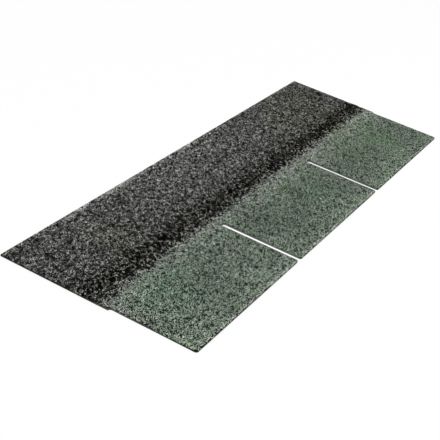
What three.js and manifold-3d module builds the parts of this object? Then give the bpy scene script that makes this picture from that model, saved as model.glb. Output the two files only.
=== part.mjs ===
// A three-tab asphalt shingle strip: one coated mat cut to shape, the dashes of sealant across
// its face and the release film across its back.
//
// Millimetres. +X runs along the strip, +Y from the butt edge of the tabs up to the top edge of
// the headlap, +Z up through the face that shows. The origin is the middle of the underside.
//
// The skilled feature is the cut outline: two full cut-outs with round inner ends between the
// tabs, and at each end of the strip half a cut-out, so that two strips laid end to end leave a
// gap like the others. It is one path of lines and arcs, worked out from the tab count.

import * as THREE from 'three';
import { mergeVertices } from 'three/addons/utils/BufferGeometryUtils.js';
import Module from 'manifold-3d';

// The coated mat
const STRIP_LENGTH = 1000; // metric strip
const STRIP_WIDTH = 337; // butt edge to top edge
const SHEET_THICKNESS = 3; // mat, asphalt coating and granules together
const TAB_COUNT = 3;

// The cut-outs between the tabs
const CUTOUT_WIDTH = 10;
const CUTOUT_DEPTH = 145; // from the butt edge to the round inner end
const TAB_CORNER_RADIUS = 4; // where a side of a tab meets the butt edge

// The self-sealing dashes on the face
const SEAL_LINE_HEIGHT = 188; // middle of the dashes, from the butt edge
const SEAL_WIDTH = 16;
const SEAL_CROWN = 0.8; // how high a bead stands at its middle
const SEAL_DASH_LENGTH = 64;
const SEAL_PITCH = 119;
const SEAL_FIRST_DASH = 3; // from the left end of the strip to the first dash
const SEAL_CORNER_RADIUS = 3; // in plan

// The release film on the back, which keeps it off the sealant of the strip packed below
const FILM_WIDTH = 20;
const CUTOUT_INTO_FILM = 6; // how far the cut-outs' round ends bite into the film's lower edge
const FILM_THICKNESS = 0.15;
const FILM_CLEARANCE = 0.3; // each side, to the recess that it is pressed into
const FILM_RECESS_DEPTH = 0.25; // keeps the film off what the strip lies on

const ARC_SEGMENTS = 12; // of each arc of the strip's outline
const BEAD_SEGMENTS = 8; // across a bead
const BEAD_CORNER_SEGMENTS = 4; // of each corner of a bead
const CUT_OVERRUN = 1; // how far a cutting solid runs past what it cuts

const halfLength = STRIP_LENGTH / 2;
const buttY = -STRIP_WIDTH / 2;
const topY = STRIP_WIDTH / 2;
const tabPitch = STRIP_LENGTH / TAB_COUNT;
const sealY = buttY + SEAL_LINE_HEIGHT;
const cutoutEndY = buttY + CUTOUT_DEPTH;
const filmY = cutoutEndY - CUTOUT_INTO_FILM + FILM_WIDTH / 2;

const wasm = await Module();
wasm.setup();

const MATERIALS = {
  sheet: { color: 0x5a6158, roughness: 0.95, metalness: 0 },
  sealant: { color: 0x18181a, roughness: 0.45, metalness: 0 },
  film: { color: 0xc4c6c4, roughness: 0.2, metalness: 0 },
};

/** A named mesh with a material of its own. */
function piece(name, geometry, finish) {
  const mesh = new THREE.Mesh(geometry, new THREE.MeshStandardMaterial(finish));
  mesh.name = name;
  return mesh;
}

/** The closed solid that a geometry bounds, for cutting and joining. */
function solidOf(geometry) {
  const bare = geometry.clone();
  bare.deleteAttribute('normal');
  bare.deleteAttribute('uv');
  const merged = mergeVertices(bare.index ? bare.toNonIndexed() : bare);
  return new wasm.Manifold(new wasm.Mesh({
    numProp: 3,
    vertProperties: new Float32Array(merged.attributes.position.array),
    triVerts: new Uint32Array(merged.index.array),
  }));
}

/** The geometry of a solid that has been cut. */
function geometryOf(solid) {
  const mesh = solid.getMesh();
  const geometry = new THREE.BufferGeometry();
  geometry.setAttribute('position', new THREE.BufferAttribute(mesh.vertProperties, 3));
  geometry.setIndex(new THREE.BufferAttribute(mesh.triVerts, 1));
  geometry.computeVertexNormals();
  return geometry;
}

/** A box between two corners. */
function boxBetween(low, high) {
  const size = new THREE.Vector3().subVectors(high, low);
  const middle = new THREE.Vector3().addVectors(low, high).multiplyScalar(0.5);
  return new THREE.BoxGeometry(size.x, size.y, size.z).translate(middle.x, middle.y, middle.z);
}

/**
 * Adds one tab to an outline that runs along the butt edge: down its left side from the cut-out,
 * round its two corners and up its right side.
 */
function addTab(outline, left, right) {
  const r = TAB_CORNER_RADIUS;
  outline.lineTo(left, buttY + r);
  outline.absarc(left + r, buttY + r, r, Math.PI, 1.5 * Math.PI, false);
  outline.lineTo(right - r, buttY);
  outline.absarc(right - r, buttY + r, r, 1.5 * Math.PI, 2 * Math.PI, false);
}

/** The strip's outline, anticlockwise from its top left corner. */
function stripOutline() {
  const r = CUTOUT_WIDTH / 2;
  const arcY = cutoutEndY - r; // middle of each round inner end
  const outline = new THREE.Shape();
  outline.moveTo(-halfLength, topY);
  outline.lineTo(-halfLength, cutoutEndY);
  outline.absarc(-halfLength, arcY, r, 0.5 * Math.PI, 0, true);
  for (let tab = 0; tab < TAB_COUNT; tab += 1) {
    const left = -halfLength + tab * tabPitch + r;
    const right = -halfLength + (tab + 1) * tabPitch - r;
    addTab(outline, left, right);
    const lastTab = tab === TAB_COUNT - 1;
    outline.lineTo(right, arcY);
    outline.absarc(right + r, arcY, r, Math.PI, lastTab ? 0.5 * Math.PI : 0, true);
  }
  outline.lineTo(halfLength, topY);
  outline.closePath();
  return outline;
}

/** The solid that the strip's outline has at a thickness, standing on the underside's level. */
function punched(thickness) {
  return solidOf(new THREE.ExtrudeGeometry(stripOutline(), {
    depth: thickness, bevelEnabled: false, curveSegments: ARC_SEGMENTS,
  }));
}

/** A band across the back, as long as the strip and past its ends, for cutting out the film. */
function backBand(halfWidth, low, high) {
  return solidOf(boxBetween(
    new THREE.Vector3(-halfLength - CUT_OVERRUN, filmY - halfWidth, low),
    new THREE.Vector3(halfLength + CUT_OVERRUN, filmY + halfWidth, high),
  ));
}

/** The coated mat, with the shallow recess in its back that the release film is pressed into. */
function shingleSheet() {
  const recess = backBand(FILM_WIDTH / 2 + FILM_CLEARANCE, -CUT_OVERRUN, FILM_RECESS_DEPTH);
  const mat = punched(SHEET_THICKNESS).subtract(recess);
  return piece('shingle_sheet', geometryOf(mat), MATERIALS.sheet);
}

/** The low domed section of a bead, in Y and Z, standing on the face of the sheet. */
function beadSection() {
  const half = SEAL_WIDTH / 2;
  const radius = (half * half + SEAL_CROWN * SEAL_CROWN) / (2 * SEAL_CROWN);
  const halfAngle = Math.asin(half / radius);
  const section = new THREE.Shape();
  section.absarc(
    0, SEAL_CROWN - radius, radius, 0.5 * Math.PI - halfAngle, 0.5 * Math.PI + halfAngle, false,
  );
  section.closePath();
  return section;
}

/** A bead's outline in plan. The strip's right end cuts through it if it runs past that end. */
function beadPlan(start, end) {
  const r = SEAL_CORNER_RADIUS;
  const low = sealY - SEAL_WIDTH / 2;
  const high = sealY + SEAL_WIDTH / 2;
  const right = Math.min(end, halfLength);
  const cornerRadius = Math.max(r - (end - right), 0); // none is left where the cut is deep
  const plan = new THREE.Shape();
  plan.absarc(start + r, low + r, r, Math.PI, 1.5 * Math.PI, false);
  if (cornerRadius > 0) {
    plan.absarc(right - r, low + r, r, 1.5 * Math.PI, 2 * Math.PI, false);
    plan.absarc(right - r, high - r, r, 0, 0.5 * Math.PI, false);
  } else {
    plan.lineTo(right, low);
    plan.lineTo(right, high);
  }
  plan.absarc(start + r, high - r, r, 0.5 * Math.PI, Math.PI, false);
  plan.closePath();
  return plan;
}

/** Every dash of sealant, laid on the face at an even pitch from the left end. */
function sealDashes() {
  const dashes = [];
  const roll = new THREE.Matrix4().makeBasis(
    new THREE.Vector3(0, 1, 0), new THREE.Vector3(0, 0, 1), new THREE.Vector3(1, 0, 0),
  ); // turns a section drawn in X and Y to stand in Y and Z, and its extrusion to run along X
  let start = -halfLength + SEAL_FIRST_DASH;
  while (start < halfLength) {
    const domed = new THREE.ExtrudeGeometry(beadSection(), {
      depth: SEAL_DASH_LENGTH, bevelEnabled: false, curveSegments: BEAD_SEGMENTS,
    }).applyMatrix4(roll).translate(start, sealY, SHEET_THICKNESS);
    const plan = new THREE.ExtrudeGeometry(beadPlan(start, start + SEAL_DASH_LENGTH), {
      depth: SEAL_CROWN + 2 * CUT_OVERRUN,
      bevelEnabled: false,
      curveSegments: BEAD_CORNER_SEGMENTS,
    }).translate(0, 0, SHEET_THICKNESS - CUT_OVERRUN);
    dashes.push(piece(
      `seal_dash_${dashes.length + 1}`,
      geometryOf(solidOf(domed).intersect(solidOf(plan))),
      MATERIALS.sealant,
    ));
    start += SEAL_PITCH;
  }
  return dashes;
}

/** The release film, against the roof of its recess and punched through with the strip. */
function releaseFilm() {
  const layer = backBand(FILM_WIDTH / 2, FILM_RECESS_DEPTH - FILM_THICKNESS, FILM_RECESS_DEPTH);
  const film = punched(SHEET_THICKNESS).intersect(layer);
  return piece('release_film', geometryOf(film), MATERIALS.film);
}

const shingle = new THREE.Group();
shingle.add(shingleSheet(), ...sealDashes(), releaseFilm());

export default shingle;
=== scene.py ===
"""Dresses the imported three-tab shingle strip: granules, coated mat, sealant, film and studio."""
import logging
import math
from collections.abc import Callable
from dataclasses import dataclass, fields
from enum import Enum, IntEnum, StrEnum
from typing import Any, Generic, TypeVar

import bmesh
import bpy
from bpy.types import ColorRamp, Material, Mesh, Node, NodeSocket as Socket, NodeTree, Object
from mathutils import Matrix, Vector


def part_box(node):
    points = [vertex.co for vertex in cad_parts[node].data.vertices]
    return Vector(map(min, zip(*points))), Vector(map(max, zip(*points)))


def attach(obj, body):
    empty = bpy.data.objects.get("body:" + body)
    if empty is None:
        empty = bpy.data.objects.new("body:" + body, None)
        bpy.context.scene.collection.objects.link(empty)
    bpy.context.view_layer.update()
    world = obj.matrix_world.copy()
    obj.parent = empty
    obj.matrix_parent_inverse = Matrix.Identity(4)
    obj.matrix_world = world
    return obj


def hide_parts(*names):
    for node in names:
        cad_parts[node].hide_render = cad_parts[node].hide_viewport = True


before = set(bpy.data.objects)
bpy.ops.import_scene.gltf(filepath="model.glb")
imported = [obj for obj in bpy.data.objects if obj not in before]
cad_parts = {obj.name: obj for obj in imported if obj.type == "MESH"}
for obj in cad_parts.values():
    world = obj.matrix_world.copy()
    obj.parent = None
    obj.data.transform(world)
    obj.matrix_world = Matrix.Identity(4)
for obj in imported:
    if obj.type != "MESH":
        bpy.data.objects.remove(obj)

log = logging.getLogger("shingle")

BODY = "root"
SHEET = "shingle_sheet"
FILM = "release_film"
DASH_PREFIX = "seal_dash_"
MILLIMETRE = 0.001
HAIR = 1e-6  # metres; corners closer than this are one
FRAME_PIXELS = 440.0
BAKE_MAP = "OFBake"  # the UV map that the export bakes into
WHITE = (1.0, 1.0, 1.0, 1.0)

Colour = tuple[float, float, float, float]
Shade = tuple[int, int, int]  # a colour in display values from 0 to 255
Triple = tuple[float, float, float]
Step = tuple[float, float]  # where a soft step starts, and where it is complete
Feed = Any  # what goes into a node's input: a constant, a socket or a Value
Settings = dict[str, Any] | None  # a node's properties
Sockets = dict[str | int, Feed] | None  # a node's inputs, by their names or numbers
Sizes = TypeVar("Sizes")  # a dataclass of sizes


class Lay(StrEnum):
    """How one colour is laid on another."""

    OVER = "MIX"
    TINT = "MULTIPLY"


class Mark(StrEnum):
    """What each granule carries, by the name that it is stored under."""

    PLACE = "granule_at"
    PICK = "granule_pick"
    TONE = "granule_tone"
    LOT = "granule_lot"
    NUMBER = "granule_number"


class Draw(IntEnum):
    """The seeds of the random draws that shape the granules."""

    TURN, SIZE, JOLT, LIFT = range(21, 25)


def linear(value: int) -> float:
    """A display value as linear light."""
    share = value / 255.0
    return share / 12.92 if share <= 0.04045 else ((share + 0.055) / 1.055) ** 2.4


def srgb(shade: Shade) -> Colour:
    """The linear colour of a shade."""
    return (*map(linear, shade), 1.0)


def added(made: Object) -> Object:
    """Adds a new object to the scene, and gives it back."""
    bpy.context.scene.collection.objects.link(made)
    return made


def maths(kind: str, turned: bool = False) -> Callable[..., "Value"]:
    """Makes a method of Value that adds a Math node.

    Args:
        kind: what the node works out.
        turned: whether the value itself comes last.

    Returns:
        The method.
    """

    def method(self: "Value", *others: "Number") -> "Value":
        """What the node makes of the value and the others."""
        numbers = dict(enumerate((*others, self) if turned else (self, *others)))
        return self.graph.value(self.graph.node("ShaderNodeMath", {"operation": kind}, numbers))

    return method


class Value:
    """A number in a node tree, on which sums are written as Python expressions."""

    def __init__(self, graph: "Graph", socket: Socket) -> None:
        """Wraps an output of a node in graph."""
        self.graph = graph
        self.socket = socket

    __add__ = __radd__ = maths("ADD")
    __sub__, __rsub__ = maths("SUBTRACT"), maths("SUBTRACT", turned=True)
    __mul__ = __rmul__ = maths("MULTIPLY")
    __truediv__, __rtruediv__ = maths("DIVIDE"), maths("DIVIDE", turned=True)
    __mod__ = maths("FLOORED_MODULO")
    # 1 where the value is greater or less than another, and 0 elsewhere
    above, below = maths("GREATER_THAN"), maths("LESS_THAN")
    # The smaller and the larger of the value and another
    least, most = maths("MINIMUM"), maths("MAXIMUM")
    # The whole number below the value, and the one above it
    floor, ceil = maths("FLOOR"), maths("CEIL")
    # The square root, and the value without its sign
    root, size = maths("SQRT"), maths("ABSOLUTE")

    def held(self) -> "Value":
        """self, kept from 0 to 1."""
        return self.most(0.0).least(1.0)

    def rise(self, step: Step) -> "Value":
        """How far self has gone through a soft step, from 0 to 1."""
        return ((self - step[0]) / (step[1] - step[0])).held()

    def within(self, steps: tuple[Step, ...]) -> "Number":
        """How far self has gone through all of the soft steps, or 1 where there are none."""
        return math.prod(self.rise(step) for step in steps)


Number = float | Value


class Graph:
    """Adds nodes to the tree of a material, a world or a Geometry Nodes group."""

    def __init__(self, tree: NodeTree) -> None:
        """Works on tree, which is emptied."""
        self.tree = tree
        tree.nodes.clear()

    def node(self, kind: str, settings: Settings = None, sockets: Sockets = None) -> Node:
        """Adds a node.

        Args:
            kind: the node's type.
            settings: its properties, which are set first. "stops" fills a colour ramp.
            sockets: what goes into its inputs.

        Returns:
            The new node.
        """
        made = self.tree.nodes.new(kind)
        for name, value in (settings or {}).items():
            if name == "stops":
                self._fill_ramp(made.color_ramp, value)
            else:
                setattr(made, name, value)
        for key, value in (sockets or {}).items():
            value = value.socket if isinstance(value, Value) else value
            if isinstance(value, Socket):
                self.tree.links.new(value, made.inputs[key])
            else:
                made.inputs[key].default_value = value
        return made

    def first(self, kind: str, settings: Settings = None, sockets: Sockets = None) -> Socket:
        """Adds a node in the same way, and gives its first output."""
        return self.node(kind, settings, sockets).outputs[0]

    @staticmethod
    def _fill_ramp(ramp: ColorRamp, stops: list[tuple[float, Colour]]) -> None:
        """Gives a ramp its stops, with no blending between them.

        Args:
            ramp: the ramp of a new node, which has two stops.
            stops: the place and colour of each stop, in order.
        """
        ramp.interpolation = "CONSTANT"
        while len(ramp.elements) < len(stops):
            ramp.elements.new(1.0)
        for element, (place, colour) in zip(ramp.elements, stops, strict=True):
            element.position = place
            element.color = colour

    def value(self, node: Node, output: str | int = 0) -> Value:
        """An output of a node as a number."""
        return Value(self, node.outputs[output])

    def parts(self, vector: Feed) -> list[Value]:
        """The three numbers of a vector."""
        made = self.node("ShaderNodeSeparateXYZ", None, {0: vector})
        return [Value(self, output) for output in made.outputs]

    def seen(self) -> Value:
        """Finds the rays that show the surround: straight, mirrored or through something clear.

        Returns:
            1 on those rays, and 0 elsewhere.
        """
        path = self.node("ShaderNodeLightPath")
        rays = ("Is Camera Ray", "Is Glossy Ray", "Is Transmission Ray")
        straight, mirrored, clear = (self.value(path, ray) for ray in rays)
        return straight.most(mirrored).most(clear)


class Shader(Graph):
    """A material's tree, with the patterns that this object's finishes share."""

    grain_slant = 0.41  # radians from X
    grain_draw = 1.6

    def __init__(self, name: str) -> None:
        """Makes an empty material.

        Args:
            name: what it is called.
        """
        self.material = bpy.data.materials.new(name)
        self.material.use_nodes = True
        super().__init__(self.material.node_tree)

    def place(self) -> Socket:
        """Object coordinates."""
        return self.node("ShaderNodeTexCoord").outputs["Object"]

    def stretched(self, place: Feed, factors: Triple) -> Socket:
        """Coordinates times a factor each, which draws a pattern out."""
        return self.first("ShaderNodeVectorMath", {"operation": "MULTIPLY"}, {0: place, 1: factors})

    def grain(self, place: Feed) -> Socket:
        """Coordinates that draw a pattern out on a slant, as granules settle."""
        drawn = {"Rotation": (0.0, 0.0, self.grain_slant), "Scale": (self.grain_draw, 1.0, 1.0)}
        return self.first("ShaderNodeMapping", {"vector_type": "TEXTURE"}, {0: place} | drawn)

    def mix(self, share: Feed, first: Feed, second: Feed, lay: Lay = Lay.OVER) -> Socket:
        """A colour with a share of second laid on first."""
        settings = {"data_type": "RGBA", "blend_type": lay}  # colours are inputs 6 and 7, output 2
        return self.node("ShaderNodeMix", settings, {0: share, 6: first, 7: second}).outputs[2]

    def between(self, share: Feed, shades: tuple[Shade, Shade]) -> Socket:
        """A colour between two shades."""
        return self.mix(share, srgb(shades[0]), srgb(shades[1]))

    def finish(
        self, colour: Feed, rough: Feed, relief: Feed = None, depth: float = 0.0, gloss: float = 0.0
    ) -> Material:
        """Ends the material in a Principled shader.

        Args:
            colour: its base colour.
            rough: its roughness.
            relief: the height of its relief, if it has one.
            depth: how deep the relief is, in metres.
            gloss: its specular level.

        Returns:
            The material.
        """
        sockets = {"Base Color": colour, "Roughness": rough, "Specular IOR Level": gloss}
        if relief is not None:
            height = {"Height": relief, "Distance": depth}
            sockets["Normal"] = self.first("ShaderNodeBump", None, height)
        surface = self.first("ShaderNodeBsdfPrincipled", None, sockets)
        self.node("ShaderNodeOutputMaterial", None, {"Surface": surface})
        return self.material


@dataclass(frozen=True)
class Noise:
    """Smooth noise: the size of its features in metres, its finer layers, and its seed."""

    size: Number
    detail: float
    seed: Number

    def at(self, graph: Graph, place: Feed) -> Value:
        """The noise at a place, about 0.5 on average."""
        sockets = {"Vector": place, "W": self.seed, "Scale": 1.0 / self.size, "Detail": self.detail}
        return graph.value(graph.node("ShaderNodeTexNoise", {"noise_dimensions": "4D"}, sockets))

    def swing(self, graph: Graph, place: Feed) -> Value:
        """The noise at a place, about 0 on average."""
        return self.at(graph, place) - 0.5


@dataclass(frozen=True)
class Face:
    """The place and size of a CAD node's upper face, in metres."""

    left: float
    butt: float
    length: float
    width: float
    level: float

    @classmethod
    def of(cls, node: str) -> "Face":
        """The upper face of a node, from its box."""
        low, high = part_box(node)
        return cls(low[0], low[1], high[0] - low[0], high[1] - low[1], high[2])

    def spot(self, graph: Graph, place: Feed) -> tuple[Value, Value]:
        """How far a place is from the left end, in metres, and its share of the way up the face."""
        x, y, _ = graph.parts(place)
        return x - self.left, (y - self.butt) / self.width


class Blend(Enum):
    """A mixture of grains: where each colour starts on a scale from the darkest to the palest."""

    TABS = (
        (0.0, (48, 56, 48)), (0.19, (86, 99, 86)), (0.30, (124, 139, 123)),
        (0.46, (140, 155, 138)), (0.66, (156, 169, 153)), (0.84, (180, 191, 177)),
    )
    FRINGE = (
        (0.0, (52, 52, 51)), (0.19, (92, 92, 90)), (0.30, (134, 134, 132)),
        (0.50, (155, 155, 153)), (0.72, (179, 179, 177)), (0.88, (198, 198, 195)),
    )
    BAND = (
        (0.0, (2, 2, 2)), (0.34, (14, 14, 13)), (0.45, (46, 46, 43)),
        (0.55, (92, 93, 88)), (0.66, (135, 136, 129)), (0.80, (180, 181, 173)),
    )
    HEADLAP = (
        (0.0, (6, 6, 6)), (0.22, (34, 34, 33)), (0.33, (76, 76, 74)),
        (0.45, (110, 110, 108)), (0.60, (143, 143, 140)), (0.77, (188, 188, 184)),
    )
    SAND = (
        (0.0, (24, 24, 23)), (0.30, (48, 47, 44)), (0.55, (72, 70, 66)),
        (0.80, (98, 95, 88)), (0.94, (146, 142, 131)),
    )

    def colour(self, shader: Shader, pick: Feed) -> Socket:
        """The colour of each grain, from its pick between 0 and 1."""
        stops = [(start, srgb(shade)) for start, shade in self.value]
        return shader.first("ShaderNodeValToRGB", {"stops": stops}, {0: pick})


class GranuleShader(Shader):
    """The granules' material, with what each granule carries."""

    def __init__(self, name: str, face: Face) -> None:
        """Reads what each granule carries.

        Args:
            name: what the material is called.
            face: the face that the granules lie on.
        """
        super().__init__(name)
        self.at = self._read(Mark.PLACE).outputs["Vector"]
        self.along, self.share = face.spot(self, self.at)
        draws = (Mark.PICK, Mark.TONE, Mark.LOT)
        self.pick, self.tone, self.lot = (self.value(self._read(draw), "Fac") for draw in draws)

    def _read(self, mark: Mark) -> Node:
        """The node that reads what is stored under a mark."""
        return self.node("ShaderNodeAttribute", {"attribute_name": mark})


class Stain(Enum):
    """A batch of granules of another tint: the tint, and the soft patches where it lies.

    A patch is its middle, from the left end and the butt edge, and its radius, in metres.
    """

    LIVELY = ((0.92, 1.06, 0.92, 1.0), ((0.882, 0.090, 0.052),))
    BLUISH = ((0.93, 1.02, 0.98, 1.0), ((0.558, 0.073, 0.046), (0.108, 0.112, 0.066)))
    OLIVE = (
        (0.90, 0.93, 0.84, 1.0),
        ((0.768, 0.092, 0.042), (0.536, 0.120, 0.026), (0.618, 0.090, 0.026)),
    )
    MOSSY = ((0.99, 1.02, 0.91, 1.0), ((0.160, 0.245, 0.045), (0.860, 0.235, 0.130)))
    DULL = (
        (0.86, 0.86, 0.86, 1.0),
        (
            (0.400, 0.116, 0.060), (0.455, 0.214, 0.034),
            (0.250, 0.316, 0.055), (0.285, 0.318, 0.040),
        ),
    )
    PALE = ((1.14, 1.13, 1.14, 1.0), ((0.310, 0.065, 0.062), (0.240, 0.006, 0.075)))


@dataclass(frozen=True)
class Area:
    """An area of the face with soft edges, and the amount that it adds.

    The steps across it are shares of the width, and those along it are metres.
    """

    amount: float
    across: tuple[Step, ...] = ()
    along: tuple[Step, ...] = ()

    def at(self, shader: GranuleShader) -> Value:
        """What the area adds at each granule."""
        return self.amount * shader.share.within(self.across) * shader.along.within(self.along)


class Spread(Enum):
    """What there is more or less of over the face, as areas that add up."""

    # The share of grey granules among the green ones: beside the band, at the left end, at the butt
    STRAYS = (
        Area(0.42, across=((0.37, 0.475),)),
        Area(0.06, along=((0.028, 0.008),)),
        Area(0.34, across=((0.12, 0.34),), along=((0.028, 0.008),)),
        Area(0.45, across=((0.020, 0.012),)),
    )
    # How much less the greys differ, above the band and at the top
    CALM = (
        Area(0.13, across=((0.66, 0.60),)),
        Area(0.13, across=((0.78, 0.90),)),
    )
    # How much paler the tabs are: at the butt edge, as a painted highlight on its rim, beside the
    # band, at the left end
    TAB_LIGHT = (
        Area(0.28, across=((0.16, 0.0),)),
        # These two are a painted highlight along the rim of the butt edge, weaker towards the right
        # end
        Area(0.85, across=((0.001, 0.004), (0.014, 0.009))),
        Area(-0.35, across=((0.001, 0.004), (0.014, 0.009)), along=((0.60, 0.70),)),
        Area(0.30, across=((0.32, 0.46),)),
        Area(0.12, across=((0.32, 0.46),), along=((0.0, 0.5),)),
        Area(0.34, across=((0.46, 0.38),), along=((0.13, 0.04),)),
    )
    # How much paler the headlap is: at its top edge, up from the band, beside it, at the right end
    HEADLAP_LIGHT = (
        Area(0.85, across=((0.968, 1.0),)),
        Area(-0.55, across=((0.968, 1.0),), along=((0.55, 0.62),)),
        Area(0.30, across=((0.60, 0.90),), along=((0.06, 0.34), (0.72, 0.52))),
        Area(0.12, across=((0.60, 0.90),)),
        Area(0.18, across=((0.56, 0.52),)),
        Area(-0.14, along=((0.88, 0.96),)),
    )
    # Where handling has chalked the top edge
    WEAR = (
        Area(1.0, along=((0.15, 0.17), (0.36, 0.30))),
        Area(0.8, along=((0.49, 0.51), (0.55, 0.53))),
    )

    def at(self, shader: GranuleShader) -> Value:
        """What the areas add up to at each granule."""
        return sum(area.at(shader) for area in self.value)


@dataclass(frozen=True)
class GranuleFinish:
    """Crushed stone in a ceramic coat: green on the tabs, black in the band, grey above it."""

    name: str
    face: Face
    # How much of its shade is each granule's own, where the rest is its clump's
    own_green: float = 0.20
    own_grey: float = 0.40
    clumps: Noise = Noise(0.0044, 0.4, 5.9)
    clump_range: Step = (0.26, 0.74)
    # How much less the greens differ with each metre along, and what is left of it on the rim
    evenness: float = 0.20
    rim_contrast: float = 0.5
    rim: Step = (0.010, 0.018)
    # Where the blends change, as shares of the width, and how far granules lie over that line
    green_end: float = 0.478
    green_slant: float = 0.016
    slant_run: Step = (0.05, 0.85)
    green_scatter: float = 0.044
    green_wander: float = 0.02
    dark_end: float = 0.615
    dark_scatter: float = 0.105
    dark_wander: float = 0.06
    wander: Noise = Noise(0.020, 2.0, 1.3)
    # The outline of the stains
    stain_edge: Step = (1.15, 0.35)
    stain_waver: Noise = Noise(0.030, 2.0, 3.1)
    stain_unevenness: float = 1.6
    # What lightens and darkens the granules
    light_change: float = 0.5
    cloud: Noise = Noise(0.045, 2.0, 9.4)
    cloud_depth: float = 0.28
    tone_depth: float = 0.3
    # The chalked top edge
    chalk: Shade = (226, 226, 220)
    chalk_reach: Step = (0.012, 0.005)
    chalk_patches: Noise = Noise(0.030, 2.0, 7.7)
    patch_edge: Step = (0.38, 0.48)
    unchalked: float = 0.15
    roughness: float = 0.95

    def _picks(self, shader: GranuleShader) -> tuple[Value, Value]:
        """Works out where each granule stands on the scales of the blends.

        Args:
            shader: the material.

        Returns:
            Its picks among the greens and among the greys.
        """
        clump = self.clumps.at(shader, shader.grain(shader.at)).rise(self.clump_range)
        green = shader.pick * self.own_green + clump * (1.0 - self.own_green)
        rim = self.rim_contrast + shader.share.rise(self.rim) * (1.0 - self.rim_contrast)
        contrast = (1.0 - shader.along * self.evenness) * rim
        grey = shader.pick * self.own_grey + clump * (1.0 - self.own_grey)
        return 0.5 + (green - 0.5) * contrast, grey

    def _zoned(self, shader: GranuleShader) -> Socket:
        """Colours each granule by the zone that it lies in.

        Args:
            shader: the material.

        Returns:
            The colour.
        """
        green, grey = self._picks(shader)
        scatter, wander = shader.tone - 0.5, self.wander.swing(shader, shader.at)
        green_edge = shader.share + scatter * self.green_scatter + wander * self.green_wander
        dark_edge = shader.share + scatter * self.dark_scatter + wander * self.dark_wander
        green_end = shader.along.rise(self.slant_run) * self.green_slant + self.green_end
        strayed = shader.lot.below(Spread.STRAYS.at(shader))
        calm_grey = 0.5 + (grey - 0.5) * (1.0 - Spread.CALM.at(shader))
        colour = Blend.TABS.colour(shader, green)
        colour = shader.mix(strayed, colour, Blend.FRINGE.colour(shader, green))
        colour = shader.mix(green_edge.above(green_end), colour, Blend.BAND.colour(shader, grey))
        headlap = Blend.HEADLAP.colour(shader, calm_grey)
        return shader.mix(dark_edge.above(self.dark_end), colour, headlap)

    def _stained(self, shader: GranuleShader, colour: Socket) -> Socket:
        """Lays the stains over a colour.

        Args:
            shader: the material.
            colour: the colour.

        Returns:
            The stained colour.
        """
        up = shader.share * self.face.width
        waver = self.stain_waver.swing(shader, shader.at) * self.stain_unevenness
        for tint, patches in (stain.value for stain in Stain):
            for middle, height, radius in patches:
                aside, above = shader.along - middle, up - height
                distance = (aside * aside + above * above).root() / radius + waver
                colour = shader.mix(distance.rise(self.stain_edge), colour, tint, Lay.TINT)
        return colour

    def _light(self, shader: GranuleShader) -> Value:
        """Works out how pale each granule is.

        Args:
            shader: the material.

        Returns:
            The factor on its colour.
        """
        on_tabs = 1.0 - shader.share.above(self.light_change)
        cloud = self.cloud.swing(shader, shader.at) * self.cloud_depth
        zone = on_tabs * Spread.TAB_LIGHT.at(shader)
        zone = zone + (1.0 - on_tabs) * Spread.HEADLAP_LIGHT.at(shader)
        return 1.0 + cloud + zone + (shader.tone - 0.5) * self.tone_depth

    def material(self) -> Material:
        """Makes the material, which gives each granule one colour.

        Returns:
            The material.
        """
        shader = GranuleShader(self.name, self.face)
        colour = self._stained(shader, self._zoned(shader))
        colour = shader.mix(1.0, colour, self._light(shader), Lay.TINT)
        patch = self.chalk_patches.at(shader, shader.at).rise(self.patch_edge)
        reach = ((1.0 - shader.share) * self.face.width).rise(self.chalk_reach)
        chalked = patch * reach * Spread.WEAR.at(shader) * shader.tone.above(self.unchalked)
        colour = shader.mix(chalked, colour, srgb(self.chalk))
        return shader.finish(colour, self.roughness)


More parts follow.
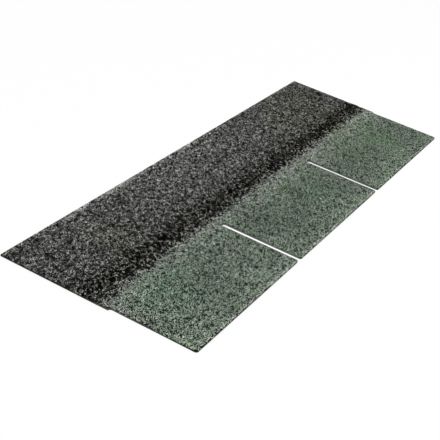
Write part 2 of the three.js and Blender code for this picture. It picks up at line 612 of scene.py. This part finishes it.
@dataclass(frozen=True)
class CoatingFinish:
    """The asphalt-coated mat: black between the granules, fibrous where cut, sanded behind."""

    name: str
    face: Face
    # How thick the face and the back are taken to be, in metres
    skin: float = 0.0002
    back: float = 0.0004
    specks: Noise = Noise(0.0012, 1.0, 2.2)
    asphalt: tuple[Shade, Shade] = ((20, 20, 19), (40, 41, 38))
    band: tuple[Step, ...] = ((0.51, 0.55), (0.62, 0.57))
    band_asphalt: Shade = (6, 6, 6)
    # The cut edges: the mat's fibres, and dust on the walls of the cut-outs and of the left end
    fibres: Noise = Noise(0.004, 3.0, 4.4)
    fibre_squeeze: Triple = (1.0, 1.0, 6.0)
    fibre_edge: Step = (0.55, 0.72)
    fibre_share: float = 0.6
    cut: tuple[Shade, Shade] = ((49, 49, 46), (124, 122, 113))
    dust: tuple[Shade, Shade] = ((84, 90, 82), (122, 130, 119))
    end_wall: float = 0.01
    cut_out_dust: Step = (0.003, 0.012)
    end_dust: Step = (0.04, 0.20)
    end_dust_share: float = 0.45
    dust_top: float = 0.5
    # The back: sand, with smears of asphalt over it
    sand_grain: float = 0.0008
    smears: Noise = Noise(0.045, 3.0, 6.1)
    smear_edge: Step = (0.35, 0.75)
    smear_share: float = 0.45
    smear: Shade = (34, 33, 32)
    roughness: float = 0.62
    sand_roughness: float = 0.28
    relief: float = 0.0004

    def _sand(self, shader: Shader, place: Socket) -> tuple[Socket, Value]:
        """Makes fine sand that is bedded in the asphalt.

        Args:
            shader: the material.
            place: the coordinates.

        Returns:
            The sand's colour and its height.
        """
        sockets = {"Vector": place, "Scale": 1.0 / self.sand_grain}
        cells = shader.node("ShaderNodeTexVoronoi", None, sockets)
        colour = Blend.SAND.colour(shader, shader.parts(cells.outputs["Color"])[0])
        smeared = self.smears.at(shader, place).rise(self.smear_edge) * self.smear_share
        return shader.mix(smeared, colour, srgb(self.smear)), shader.value(cells, "Distance")

    def material(self) -> Material:
        """Makes the material.

        Returns:
            The material.
        """
        shader = Shader(self.name)
        place = shader.place()
        height = shader.parts(place)[2]
        on_face = height.above(self.face.level - self.skin)
        on_back = height.below(self.back)
        along, share = self.face.spot(shader, place)
        speck = self.specks.at(shader, place)
        squeezed = shader.stretched(place, self.fibre_squeeze)
        fibre = self.fibres.at(shader, squeezed).rise(self.fibre_edge)
        asphalt = shader.between(speck, self.asphalt)
        asphalt = shader.mix(share.within(self.band), asphalt, srgb(self.band_asphalt))
        cut = shader.between(fibre * self.fibre_share, self.cut)
        tab_dust = share.rise(self.cut_out_dust) * along.above(self.end_wall)
        end_dust = share.rise(self.end_dust) * self.end_dust_share * along.below(self.end_wall)
        dusted = (tab_dust + end_dust) * share.below(self.dust_top)
        cut = shader.mix(dusted, cut, shader.between(speck, self.dust))
        sand, grains = self._sand(shader, place)
        relief = (speck + fibre) * (1.0 - on_back) - grains * on_back
        colour = shader.mix(on_face, shader.mix(on_back, cut, sand), asphalt)
        rough = self.roughness + on_back * self.sand_roughness
        return shader.finish(colour, rough, relief, self.relief)


@dataclass(frozen=True)
class SealantFinish:
    """Hot-laid modified bitumen, black, with mineral dust on the crown of each bead."""

    name: str
    sheet: Face
    dash: Face
    sweeps: Noise = Noise(0.012, 2.0, 1.9)
    bitumen: tuple[Shade, Shade] = ((1, 1, 1), (6, 6, 6))
    # The crown, from a bead's middle to its side, and how it is lost to the right
    crown_edge: Step = (0.60, 0.15)
    crown_most: float = 0.85
    crown_loss: float = 0.6
    crown_run: Step = (0.0, 0.7)
    # How much dust there is: on the crown, everywhere, and at the left end of the strip
    specks: Noise = Noise(0.0036, 1.0, 8.8)
    speck_edge: Step = (0.51, 0.59)
    crown_dust: float = 0.55
    least_dust: float = 0.10
    left_dust: float = 0.16
    left_end: Step = (0.45, 0.15)
    dust: Shade = (146, 145, 137)
    roughness: float = 0.50
    speck_roughness: float = 0.3
    sweep_roughness: float = 0.12
    speck_height: float = 0.4
    relief: float = 0.0004
    gloss: float = 0.003

    def material(self) -> Material:
        """Makes the material.

        Returns:
            The material.
        """
        shader = Shader(self.name)
        place = shader.place()
        aside = (self.dash.spot(shader, place)[1] * 2.0 - 1.0).size()
        along = self.sheet.spot(shader, place)[0] / self.sheet.length
        crown = aside.rise(self.crown_edge)
        crown = crown * (self.crown_most - along.rise(self.crown_run) * self.crown_loss)
        speck = self.specks.at(shader, shader.grain(place)).rise(self.speck_edge)
        sweep = self.sweeps.at(shader, place)
        dusty = crown * self.crown_dust + self.least_dust
        dusty = dusty + along.rise(self.left_end) * self.left_dust
        colour = shader.mix(speck * dusty, shader.between(sweep, self.bitumen), srgb(self.dust))
        rough = self.roughness + speck * self.speck_roughness + sweep * self.sweep_roughness
        relief = sweep + speck * self.speck_height
        return shader.finish(colour, rough, relief, self.relief, self.gloss)


@dataclass(frozen=True)
class FilmFinish:
    """Clear release film over asphalt: dark where it clings, silvery where air is under it."""

    name: str
    pockets: Noise = Noise(0.009, 4.0, 3.3)
    pocket_draw: Triple = (0.30, 1.0, 1.0)
    pocket_edge: Step = (0.40, 0.60)
    film: tuple[Shade, Shade] = ((66, 67, 66), (134, 136, 134))
    creases: Noise = Noise(0.0026, 2.0, 5.0)
    crease_draw: Triple = (1.0, 0.30, 1.0)
    crease_edge: Step = (0.58, 0.66)
    crease_share: float = 0.35
    crease: Shade = (196, 198, 196)
    roughness: float = 0.14
    pocket_roughness: float = 0.16
    pocket_height: float = 0.6
    relief: float = 0.0005
    gloss: float = 0.5

    def material(self) -> Material:
        """Makes the material.

        Returns:
            The material.
        """
        shader = Shader(self.name)
        place = shader.place()
        pocket = self.pockets.at(shader, shader.stretched(place, self.pocket_draw))
        pocket = pocket.rise(self.pocket_edge)
        crease = self.creases.at(shader, shader.stretched(place, self.crease_draw))
        creased = crease.rise(self.crease_edge) * self.crease_share
        colour = shader.mix(creased, shader.between(pocket, self.film), srgb(self.crease))
        rough = self.roughness + pocket * self.pocket_roughness
        relief = pocket * self.pocket_height + crease
        return shader.finish(colour, rough, relief, self.relief, self.gloss)


@dataclass(frozen=True)
class FloorFinish:
    """A white floor that keeps a soft shadow."""

    name: str
    white: Shade = (253, 253, 253)
    own_light: float = 0.86

    def material(self) -> Material:
        """Makes the material.

        Returns:
            The material.
        """
        shader = Shader(self.name)
        matt = shader.first("ShaderNodeBsdfDiffuse", None, {"Color": srgb(self.white)})
        glow = shader.first("ShaderNodeEmission", None, {"Color": WHITE})
        sockets = {0: shader.seen() * self.own_light, 1: matt, 2: glow}
        surface = shader.first("ShaderNodeMixShader", None, sockets)
        shader.node("ShaderNodeOutputMaterial", None, {"Surface": surface})
        return shader.material


class Pattern(Graph, Generic[Sizes]):
    """A Geometry Nodes group with a named input for each size, and the modifier that runs it."""

    def __init__(self, name: str, kind: type[Sizes]) -> None:
        """Makes a group with geometry in and out, and its sizes and finish as inputs.

        Args:
            name: what it is called.
            kind: the dataclass of its sizes.
        """
        super().__init__(bpy.data.node_groups.new(name, "GeometryNodeTree"))
        for way in ("INPUT", "OUTPUT"):
            self.tree.interface.new_socket("Geometry", in_out=way, socket_type="NodeSocketGeometry")
        self.start = self.tree.nodes.new("NodeGroupInput")
        self.sizes = kind(*(Value(self, self._ask(size.name, "Float")) for size in fields(kind)))
        self.finish = self._ask("finish", "Material")

    def _ask(self, name: str, kind: str) -> Socket:
        """Adds a named input, and gives its socket inside the group."""
        self.tree.interface.new_socket(name, in_out="INPUT", socket_type=f"NodeSocket{kind}")
        return self.start.outputs[name]

    def join(self, x: Feed, y: Feed, z: Feed) -> Socket:
        """A vector of three numbers."""
        return self.first("ShaderNodeCombineXYZ", None, {0: x, 1: y, 2: z})

    def here(self) -> Socket:
        """The place of each point."""
        return self.first("GeometryNodeInputPosition")

    def index(self) -> Value:
        """The number of each element in its list."""
        return self.value(self.node("GeometryNodeInputIndex"))

    def stored(self, mark: Mark) -> Value:
        """A number that each granule carries."""
        return self.value(self.node("GeometryNodeInputNamedAttribute", None, {"Name": mark}))

    def random(
        self, seed: Feed, number: Feed, low: Feed = (0.0,) * 3, high: Feed = (1.0,) * 3
    ) -> Socket:
        """A random vector from low to high for each element, as number tells them apart."""
        sockets = {0: low, 1: high, "ID": number, "Seed": seed}
        return self.first("FunctionNodeRandomValue", {"data_type": "FLOAT_VECTOR"}, sockets)

    def chosen(self, geometry: Feed, choice: Value, domain: str = "POINT") -> Socket:
        """The part of a geometry where choice is 1."""
        sockets = {"Geometry": geometry, "Selection": choice}
        return self.first("GeometryNodeSeparateGeometry", {"domain": domain}, sockets)

    def keep(self, geometry: Feed, name: str, value: Feed, **settings: str) -> Socket:
        """A geometry with an attribute stored on it, a number for each point unless set."""
        sockets = {"Geometry": geometry, "Name": name, "Value": value}
        return self.first("GeometryNodeStoreNamedAttribute", settings, sockets)

    def end(self, geometry: Feed) -> None:
        """Ends the group: instances made real, flat faces and one material.

        Args:
            geometry: what the group makes.
        """
        real = self.first("GeometryNodeRealizeInstances", None, {0: geometry})
        flat = {"Geometry": real, "Shade Smooth": False}
        flat = self.first("GeometryNodeSetShadeSmooth", None, flat)
        dressed = {"Geometry": flat, "Material": self.finish}
        dressed = self.first("GeometryNodeSetMaterial", None, dressed)
        self.node("NodeGroupOutput", None, {0: dressed})

    def run(self, name: str, start: Mesh, sizes: Sizes, finish: Material) -> Object:
        """Runs the group once and keeps what it makes as a plain mesh.

        Args:
            name: the new object's name.
            start: the mesh that goes in.
            sizes: the sizes.
            finish: the material.

        Returns:
            The object, with no modifier left on it.
        """
        made = added(bpy.data.objects.new(name, start))
        modifier = made.modifiers.new("pattern", "NODES")
        modifier.node_group = self.tree
        inputs = vars(sizes) | {"finish": finish}
        for item in self.tree.interface.items_tree:
            if item.in_out == "INPUT" and item.name in inputs:
                modifier[item.identifier] = inputs[item.name]
        graph = bpy.context.evaluated_depsgraph_get()
        graph.update()
        plain = bpy.data.meshes.new_from_object(
            made.evaluated_get(graph), preserve_all_data_layers=True, depsgraph=graph
        )
        made.modifiers.remove(modifier)
        made.data = plain
        plain.name = name
        return made


@dataclass(frozen=True)
class ChipSizes:
    """How large the granules are, how they lie and the band that they cover.

    Lengths are in metres and the tilt is in radians.
    """

    band_low: Number
    band_high: Number
    spacing: Number = 0.00178
    radius: Number = 0.00120
    depth: Number = 0.00042
    depth_spread: Number = 0.00010
    tilt: Number = 0.18
    roughening: Number = 0.00017
    edge_clearance: Number = 0.00030
    sinking: Number = 0.00012
    seed: Number = 7.0


@dataclass(frozen=True)
class GranuleCoat:
    """The granules pressed into the face, as pieces that each cover a band of it."""

    sheet: Object
    material: Material
    densest: float = 600000.0
    # The two kinds of granule, in radii, the share of wedges, and how the sizes vary
    wedge_radius: float = 1.12
    block_length: float = 1.55
    block_width: float = 1.35
    wedges: float = 0.62
    smallest: Triple = (0.80, 0.76, 0.75)
    largest: Triple = (1.20, 1.12, 1.25)
    roughening_upward: float = 0.35
    map_inset: float = 0.2
    names: tuple[str, ...] = (
        "tab_granules_butt", "tab_granules_middle", "tab_granules_top",
        "band_granules", "headlap_granules_lower", "headlap_granules_upper",
    )

    def _face(self) -> Mesh:
        """Copies the sheet's flat face, with its corners joined.

        Returns:
            The copy.
        """
        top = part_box(SHEET)[1][2]
        shape = bmesh.new()
        shape.from_mesh(self.sheet.data)
        shape.transform(self.sheet.matrix_world)
        bmesh.ops.remove_doubles(shape, verts=shape.verts, dist=HAIR)
        others = [f for f in shape.faces if any(abs(v.co.z - top) >= HAIR for v in f.verts)]
        bmesh.ops.delete(shape, geom=others, context="FACES")
        mesh = bpy.data.meshes.new("face")
        shape.to_mesh(mesh)
        shape.free()
        return mesh

    def _scattered(self, group: Pattern[ChipSizes]) -> Socket:
        """Spreads points over the band, clear of the face's edges.

        Args:
            group: the pattern.

        Returns:
            The points.
        """
        sizes, face = group.sizes, group.start.outputs["Geometry"]
        neighbours = group.value(group.node("GeometryNodeInputMeshEdgeNeighbors"))
        rim = group.chosen(face, neighbours.below(2.0), "EDGE")
        poisson = {"distribute_method": "POISSON"}
        spread = {0: face, "Distance Min": sizes.spacing, "Density Max": self.densest}
        spread["Seed"] = sizes.seed
        points = group.first("GeometryNodeDistributePointsOnFaces", poisson, spread)
        near = group.node("GeometryNodeProximity", {"target_element": "EDGES"}, {0: rim})
        clear = group.value(near, "Distance").above(sizes.edge_clearance)
        up = group.parts(group.here())[1]
        inside = up.above(sizes.band_low) * (1.0 - up.above(sizes.band_high))
        return group.chosen(points, clear * inside)

    def _chips(self, group: Pattern[ChipSizes]) -> Socket:
        """Makes the two kinds of granule, a wedge and a block.

        Args:
            group: the pattern.

        Returns:
            The instances to pick from.
        """
        radius, height = group.sizes.radius, group.sizes.depth * 2.0
        wedge = {"Vertices": 3, "Radius": radius * self.wedge_radius, "Depth": height}
        block = group.join(radius * self.block_length, radius * self.block_width, height)
        chips = group.node("GeometryNodeGeometryToInstance")
        for kind, sockets in (("Cylinder", wedge), ("Cube", {"Size": block})):
            shape = group.first(f"GeometryNodeMesh{kind}", None, sockets)
            whole = group.first("GeometryNodeTriangulate", None, {0: shape})
            group.tree.links.new(whole, chips.inputs[0])
        return chips.outputs[0]

    def _placed(self, group: Pattern[ChipSizes], points: Socket, draw: Value) -> Socket:
        """Sets a chip on each point, turned, tilted and sized by chance.

        Args:
            group: the pattern.
            points: the points.
            draw: the random number that picks the kind of chip.

        Returns:
            The chips as one mesh.
        """
        number, tilt = group.first("GeometryNodeInputID"), group.sizes.tilt
        low = group.join(tilt * -1.0, tilt * -1.0, 0.0)
        high = group.join(tilt, tilt, 2.0 * math.pi)
        chips = {
            "Points": points,
            "Instance": self._chips(group),
            "Pick Instance": True,
            "Instance Index": draw.above(self.wedges),
            "Rotation": group.random(Draw.TURN, number, low, high),
            "Scale": group.random(Draw.SIZE, number, self.smallest, self.largest),
        }
        chips = group.first("GeometryNodeInstanceOnPoints", None, chips)
        return group.first("GeometryNodeRealizeInstances", None, {0: chips})

    def _roughened(self, group: Pattern[ChipSizes], chips: Socket) -> Socket:
        """Moves each chip's corners by chance, and beds the chip in the asphalt.

        Args:
            group: the pattern.
            chips: the chips.

        Returns:
            The roughened chips.
        """
        sides = (group.sizes.roughening * -1.0, group.sizes.roughening)
        low, high = (group.join(side, side, side * self.roughening_upward) for side in sides)
        jolt = group.random(Draw.JOLT, group.index(), low, high)
        level = group.parts(group.random(Draw.LIFT, group.stored(Mark.NUMBER)))[0]
        lift = (level - 0.5) * group.sizes.depth_spread - group.sizes.sinking
        both = {0: jolt, 1: group.join(0.0, 0.0, lift)}
        moved = group.first("ShaderNodeVectorMath", {"operation": "ADD"}, both)
        return group.first("GeometryNodeSetPosition", None, {"Geometry": chips, "Offset": moved})

    def _mapped(self, group: Pattern[ChipSizes], chips: Socket, count: Value) -> Socket:
        """Gives each chip its own square in the bake's map, with each face over most of it.

        Args:
            group: the pattern.
            chips: the chips.
            count: how many there are.

        Returns:
            The mapped chips.
        """
        order, across, corner = group.stored(Mark.NUMBER), count.root().ceil(), group.index() % 3.0
        second, third, side = corner.above(0.5), corner.above(1.5), 1.0 - self.map_inset * 2.0
        u = (order % across + self.map_inset + second * side - third * (side / 2.0)) / across
        v = ((order / across).floor() + self.map_inset + third * side) / across
        spot = group.join(u, v, 0.0)
        return group.keep(chips, BAKE_MAP, spot, data_type="FLOAT2", domain="CORNER")

    def _pattern(self) -> Pattern[ChipSizes]:
        """Makes the group that lays granules on a band of the face.

        Returns:
            The group.
        """
        group = Pattern("granule_coat", ChipSizes)
        points = self._scattered(group)
        draws = group.parts(group.random(group.sizes.seed, group.first("GeometryNodeInputID")))
        points = group.keep(points, Mark.PLACE, group.here(), data_type="FLOAT_VECTOR")
        marks = (Mark.PICK, Mark.TONE, Mark.LOT, Mark.NUMBER)
        for mark, value in zip(marks, (*draws, group.index()), strict=True):
            points = group.keep(points, mark, value)
        cloud = {"component": "POINTCLOUD"}
        count = group.node("GeometryNodeAttributeDomainSize", cloud, {0: points})
        chips = self._roughened(group, self._placed(group, points, draws[2]))
        group.end(self._mapped(group, chips, group.value(count, "Point Count")))
        return group

    def build(self) -> list[Object]:
        """Lays the granules, one piece for each band.

        Returns:
            The pieces.
        """
        face, group = self._face(), self._pattern()
        low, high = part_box(SHEET)
        step = (high[1] - low[1]) / len(self.names)
        pieces = []
        for band, name in enumerate(self.names):
            sizes = ChipSizes(low[1] + band * step, low[1] + (band + 1) * step)
            piece = group.run(name, face, sizes, self.material)
            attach(piece, BODY)
            pieces.append(piece)
        return pieces


@dataclass(frozen=True)
class BeadSizes:
    """How large a bead of sealant is and how unevenly it is laid, in metres and shares."""

    length: Number
    width: Number
    crown: Number
    middle_x: Number
    middle_y: Number
    base: Number
    cut_end: Number
    fill: Number
    seed: Number
    end_radius: Number = 0.003
    rim: Number = 0.00012
    bedding: Number = 0.0002
    waver: Number = 1.1
    lumps: Number = 0.00150
    lump_size: Number = 0.0034


@dataclass(frozen=True)
class SealantBeads:
    """The dashes of sealant, each with the wavering outline and lumpy skin of a hot-laid bead."""

    material: Material
    cells_along: int = 64
    cells_across: int = 16
    # How the outline, the ends and the skin vary, and how full the first and last beads are
    waver_size: float = 0.010
    drift_size: float = 0.030
    drift_seed: float = 5.0
    drift: float = 0.1
    detail: float = 1.5
    end_height: float = 0.35
    side_calm: float = 0.5
    first_fill: float = 0.42
    last_fill: float = 0.56
    seed: int = 31

    def _shaped(self, group: Pattern[BeadSizes]) -> Socket:
        """Works out where each point of a flat block goes to make a bead.

        Args:
            group: the pattern.

        Returns:
            The point's new place.
        """
        bead, at = group.sizes, group.here()
        half, radius = bead.length * 0.5, bead.end_radius
        x, y, z = group.parts(at)
        spine = group.join(x, 0.0, 0.0)
        reach = ((half + x).least(half - x + bead.cut_end) / radius).held()
        ending = (reach * (2.0 - reach)).root()
        waver = Noise(self.waver_size, self.detail, bead.seed).swing(group, spine)
        drift = Noise(self.drift_size, self.detail, bead.seed + self.drift_seed).swing(group, spine)
        drift = drift * bead.waver * bead.width * self.drift
        across = (y.size() / bead.width * 2.0).held()
        corner = 1.0 - (1.0 - ending) * (radius * 2.0 / bead.width).least(1.0)
        dome = 1.0 - across * across * across * across
        dome = dome * (self.end_height + ending * (1.0 - self.end_height))
        skin = Noise(bead.lump_size, self.detail, bead.seed).swing(group, at)
        skin = skin * bead.lumps * (1.0 - across * self.side_calm)
        top = bead.rim + dome * (bead.crown - bead.rim) * bead.fill + skin
        top = bead.base + top.most(bead.rim).least(bead.crown)
        upper = z.above(0.0)
        height = upper * top + (1.0 - upper) * (bead.base - bead.bedding)
        side = bead.middle_y + y * (1.0 + waver * bead.waver) * corner + drift
        return group.join(bead.middle_x + x, side, height)

    def _pattern(self) -> Pattern[BeadSizes]:
        """Makes the group that models one bead.

        Returns:
            The group.
        """
        group = Pattern("sealant_bead", BeadSizes)
        block = {
            "Size": group.join(group.sizes.length, group.sizes.width, 1.0),
            "Vertices X": self.cells_along + 1,
            "Vertices Y": self.cells_across + 1,
        }
        block = group.first("GeometryNodeMeshCube", None, block)
        moved = {"Geometry": block, "Position": self._shaped(group)}
        group.end(group.first("GeometryNodeSetPosition", None, moved))
        return group

    def build(self) -> list[Object]:
        """Lays a bead in place of each of the CAD model's dashes.

        Returns:
            The beads.
        """
        group = self._pattern()
        right_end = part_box(SHEET)[1][0]
        nodes = sorted(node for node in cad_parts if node.startswith(DASH_PREFIX))
        pieces = []
        for number, node in enumerate(nodes, 1):
            low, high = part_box(node)
            laid = (number - 1) / (len(nodes) - 1)
            sizes = BeadSizes(
                length=high[0] - low[0],
                width=high[1] - low[1],
                crown=high[2] - low[2],
                middle_x=(low[0] + high[0]) / 2.0,
                middle_y=(low[1] + high[1]) / 2.0,
                base=low[2],
                cut_end=float(abs(high[0] - right_end) < MILLIMETRE),
                fill=self.first_fill + (self.last_fill - self.first_fill) * laid,
                seed=float(self.seed + number),
            )
            blank = bpy.data.meshes.new("blank")
            piece = group.run(f"sealant_bead_{number}", blank, sizes, self.material)
            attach(piece, BODY)
            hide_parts(node)
            pieces.append(piece)
        return pieces


@dataclass(frozen=True)
class Viewpoint:
    """The camera's place, from angles about a target on the object, and its roll."""

    azimuth: float = -66.687
    elevation: float = 29.436
    roll: float = 12.510
    distance: float = 1.825
    focal_pixels: float = 1098.6
    target: Triple = (-0.1536, -0.0120, 0.0)

    def make(self) -> None:
        """Adds the camera."""
        lens = bpy.data.cameras.new("camera")
        lens.lens = self.focal_pixels / FRAME_PIXELS * lens.sensor_width
        camera = added(bpy.data.objects.new("camera", lens))
        turn, tip, roll = (math.radians(x) for x in (self.azimuth, self.elevation, self.roll))
        level = math.cos(tip)
        back = Vector((math.sin(turn) * level, -math.cos(turn) * level, math.sin(tip)))
        right = Vector((0.0, 0.0, 1.0)).cross(back).normalized()
        up = back.cross(right)
        side = math.cos(roll) * right + math.sin(roll) * up
        top = math.cos(roll) * up - math.sin(roll) * right
        stand = Matrix.Translation(Vector(self.target) + self.distance * back)
        camera.matrix_world = stand @ Matrix((side, top, back)).transposed().to_4x4()
        bpy.context.scene.camera = camera


@dataclass(frozen=True)
class Lamp:
    """A soft square lamp that faces the object's middle."""

    name: str
    place: Triple
    watts: float
    side: float

    def make(self) -> None:
        """Adds the lamp."""
        light = bpy.data.lights.new(self.name, "AREA")
        light.energy, light.size = self.watts, self.side
        lamp = added(bpy.data.objects.new(self.name, light))
        lamp.location = self.place
        lamp.rotation_euler = Vector(self.place).to_track_quat("Z", "Y").to_euler()


@dataclass(frozen=True)
class Studio:
    """The floor, the lamps and the world."""

    floor_side: float = 14.0
    world_strength: float = 0.70
    lamps: tuple[Lamp, ...] = (
        Lamp("key_lamp", (0.3, -1.9, 2.6), 34.0, 1.4),
        Lamp("fill_lamp", (-1.2, 2.0, 2.4), 11.0, 1.8),
    )

    def _floor(self) -> None:
        """Lays a plain floor at the object's base."""
        half = self.floor_side / 2.0
        mesh = bpy.data.meshes.new("floor")
        corners = [(-half, -half, 0.0), (half, -half, 0.0), (half, half, 0.0), (-half, half, 0.0)]
        mesh.from_pydata(corners, [], [(0, 1, 2, 3)])
        floor = added(bpy.data.objects.new("floor", mesh))
        mesh.materials.append(FloorFinish("floor_white").material())

    def _world(self) -> None:
        """Adds an even pale surround, white where it is seen."""
        world = bpy.data.worlds.new("surround")
        bpy.context.scene.world = world
        world.use_nodes = True
        graph = Graph(world.node_tree)
        strength = graph.seen() * (1.0 - self.world_strength) + self.world_strength
        lit = {"Color": WHITE, "Strength": strength}
        surround = graph.first("ShaderNodeBackground", None, lit)
        graph.node("ShaderNodeOutputWorld", None, {"Surface": surround})

    def make(self) -> None:
        """Adds the studio."""
        self._floor()
        self._world()
        for lamp in self.lamps:
            lamp.make()


def dress(node: str, material: Material) -> None:
    """Gives a CAD node its finish.

    Args:
        node: the node's name.
        material: the finish.
    """
    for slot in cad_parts[node].material_slots:
        slot.link = "OBJECT"
        slot.material = material
    log.info("%s: dressed in %s", node, material.name)


def main() -> None:
    """Builds the camera, the studio and every piece."""
    logging.basicConfig(level=logging.INFO, format="%(name)s %(message)s")
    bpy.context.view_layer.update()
    bpy.context.scene.view_settings.view_transform = "Standard"
    Viewpoint().make()
    Studio().make()
    face, dash = Face.of(SHEET), Face.of(f"{DASH_PREFIX}1")
    dress(SHEET, CoatingFinish("coated_mat", face).material())
    dress(FILM, FilmFinish("release_film_finish").material())
    beads = SealantBeads(SealantFinish("sealant_finish", face, dash).material()).build()
    coat = GranuleCoat(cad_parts[SHEET], GranuleFinish("granules", face).material()).build()
    for piece in beads + coat:
        log.info("%s: %d faces", piece.name, len(piece.data.polygons))


if __name__ == "__main__":
    main()
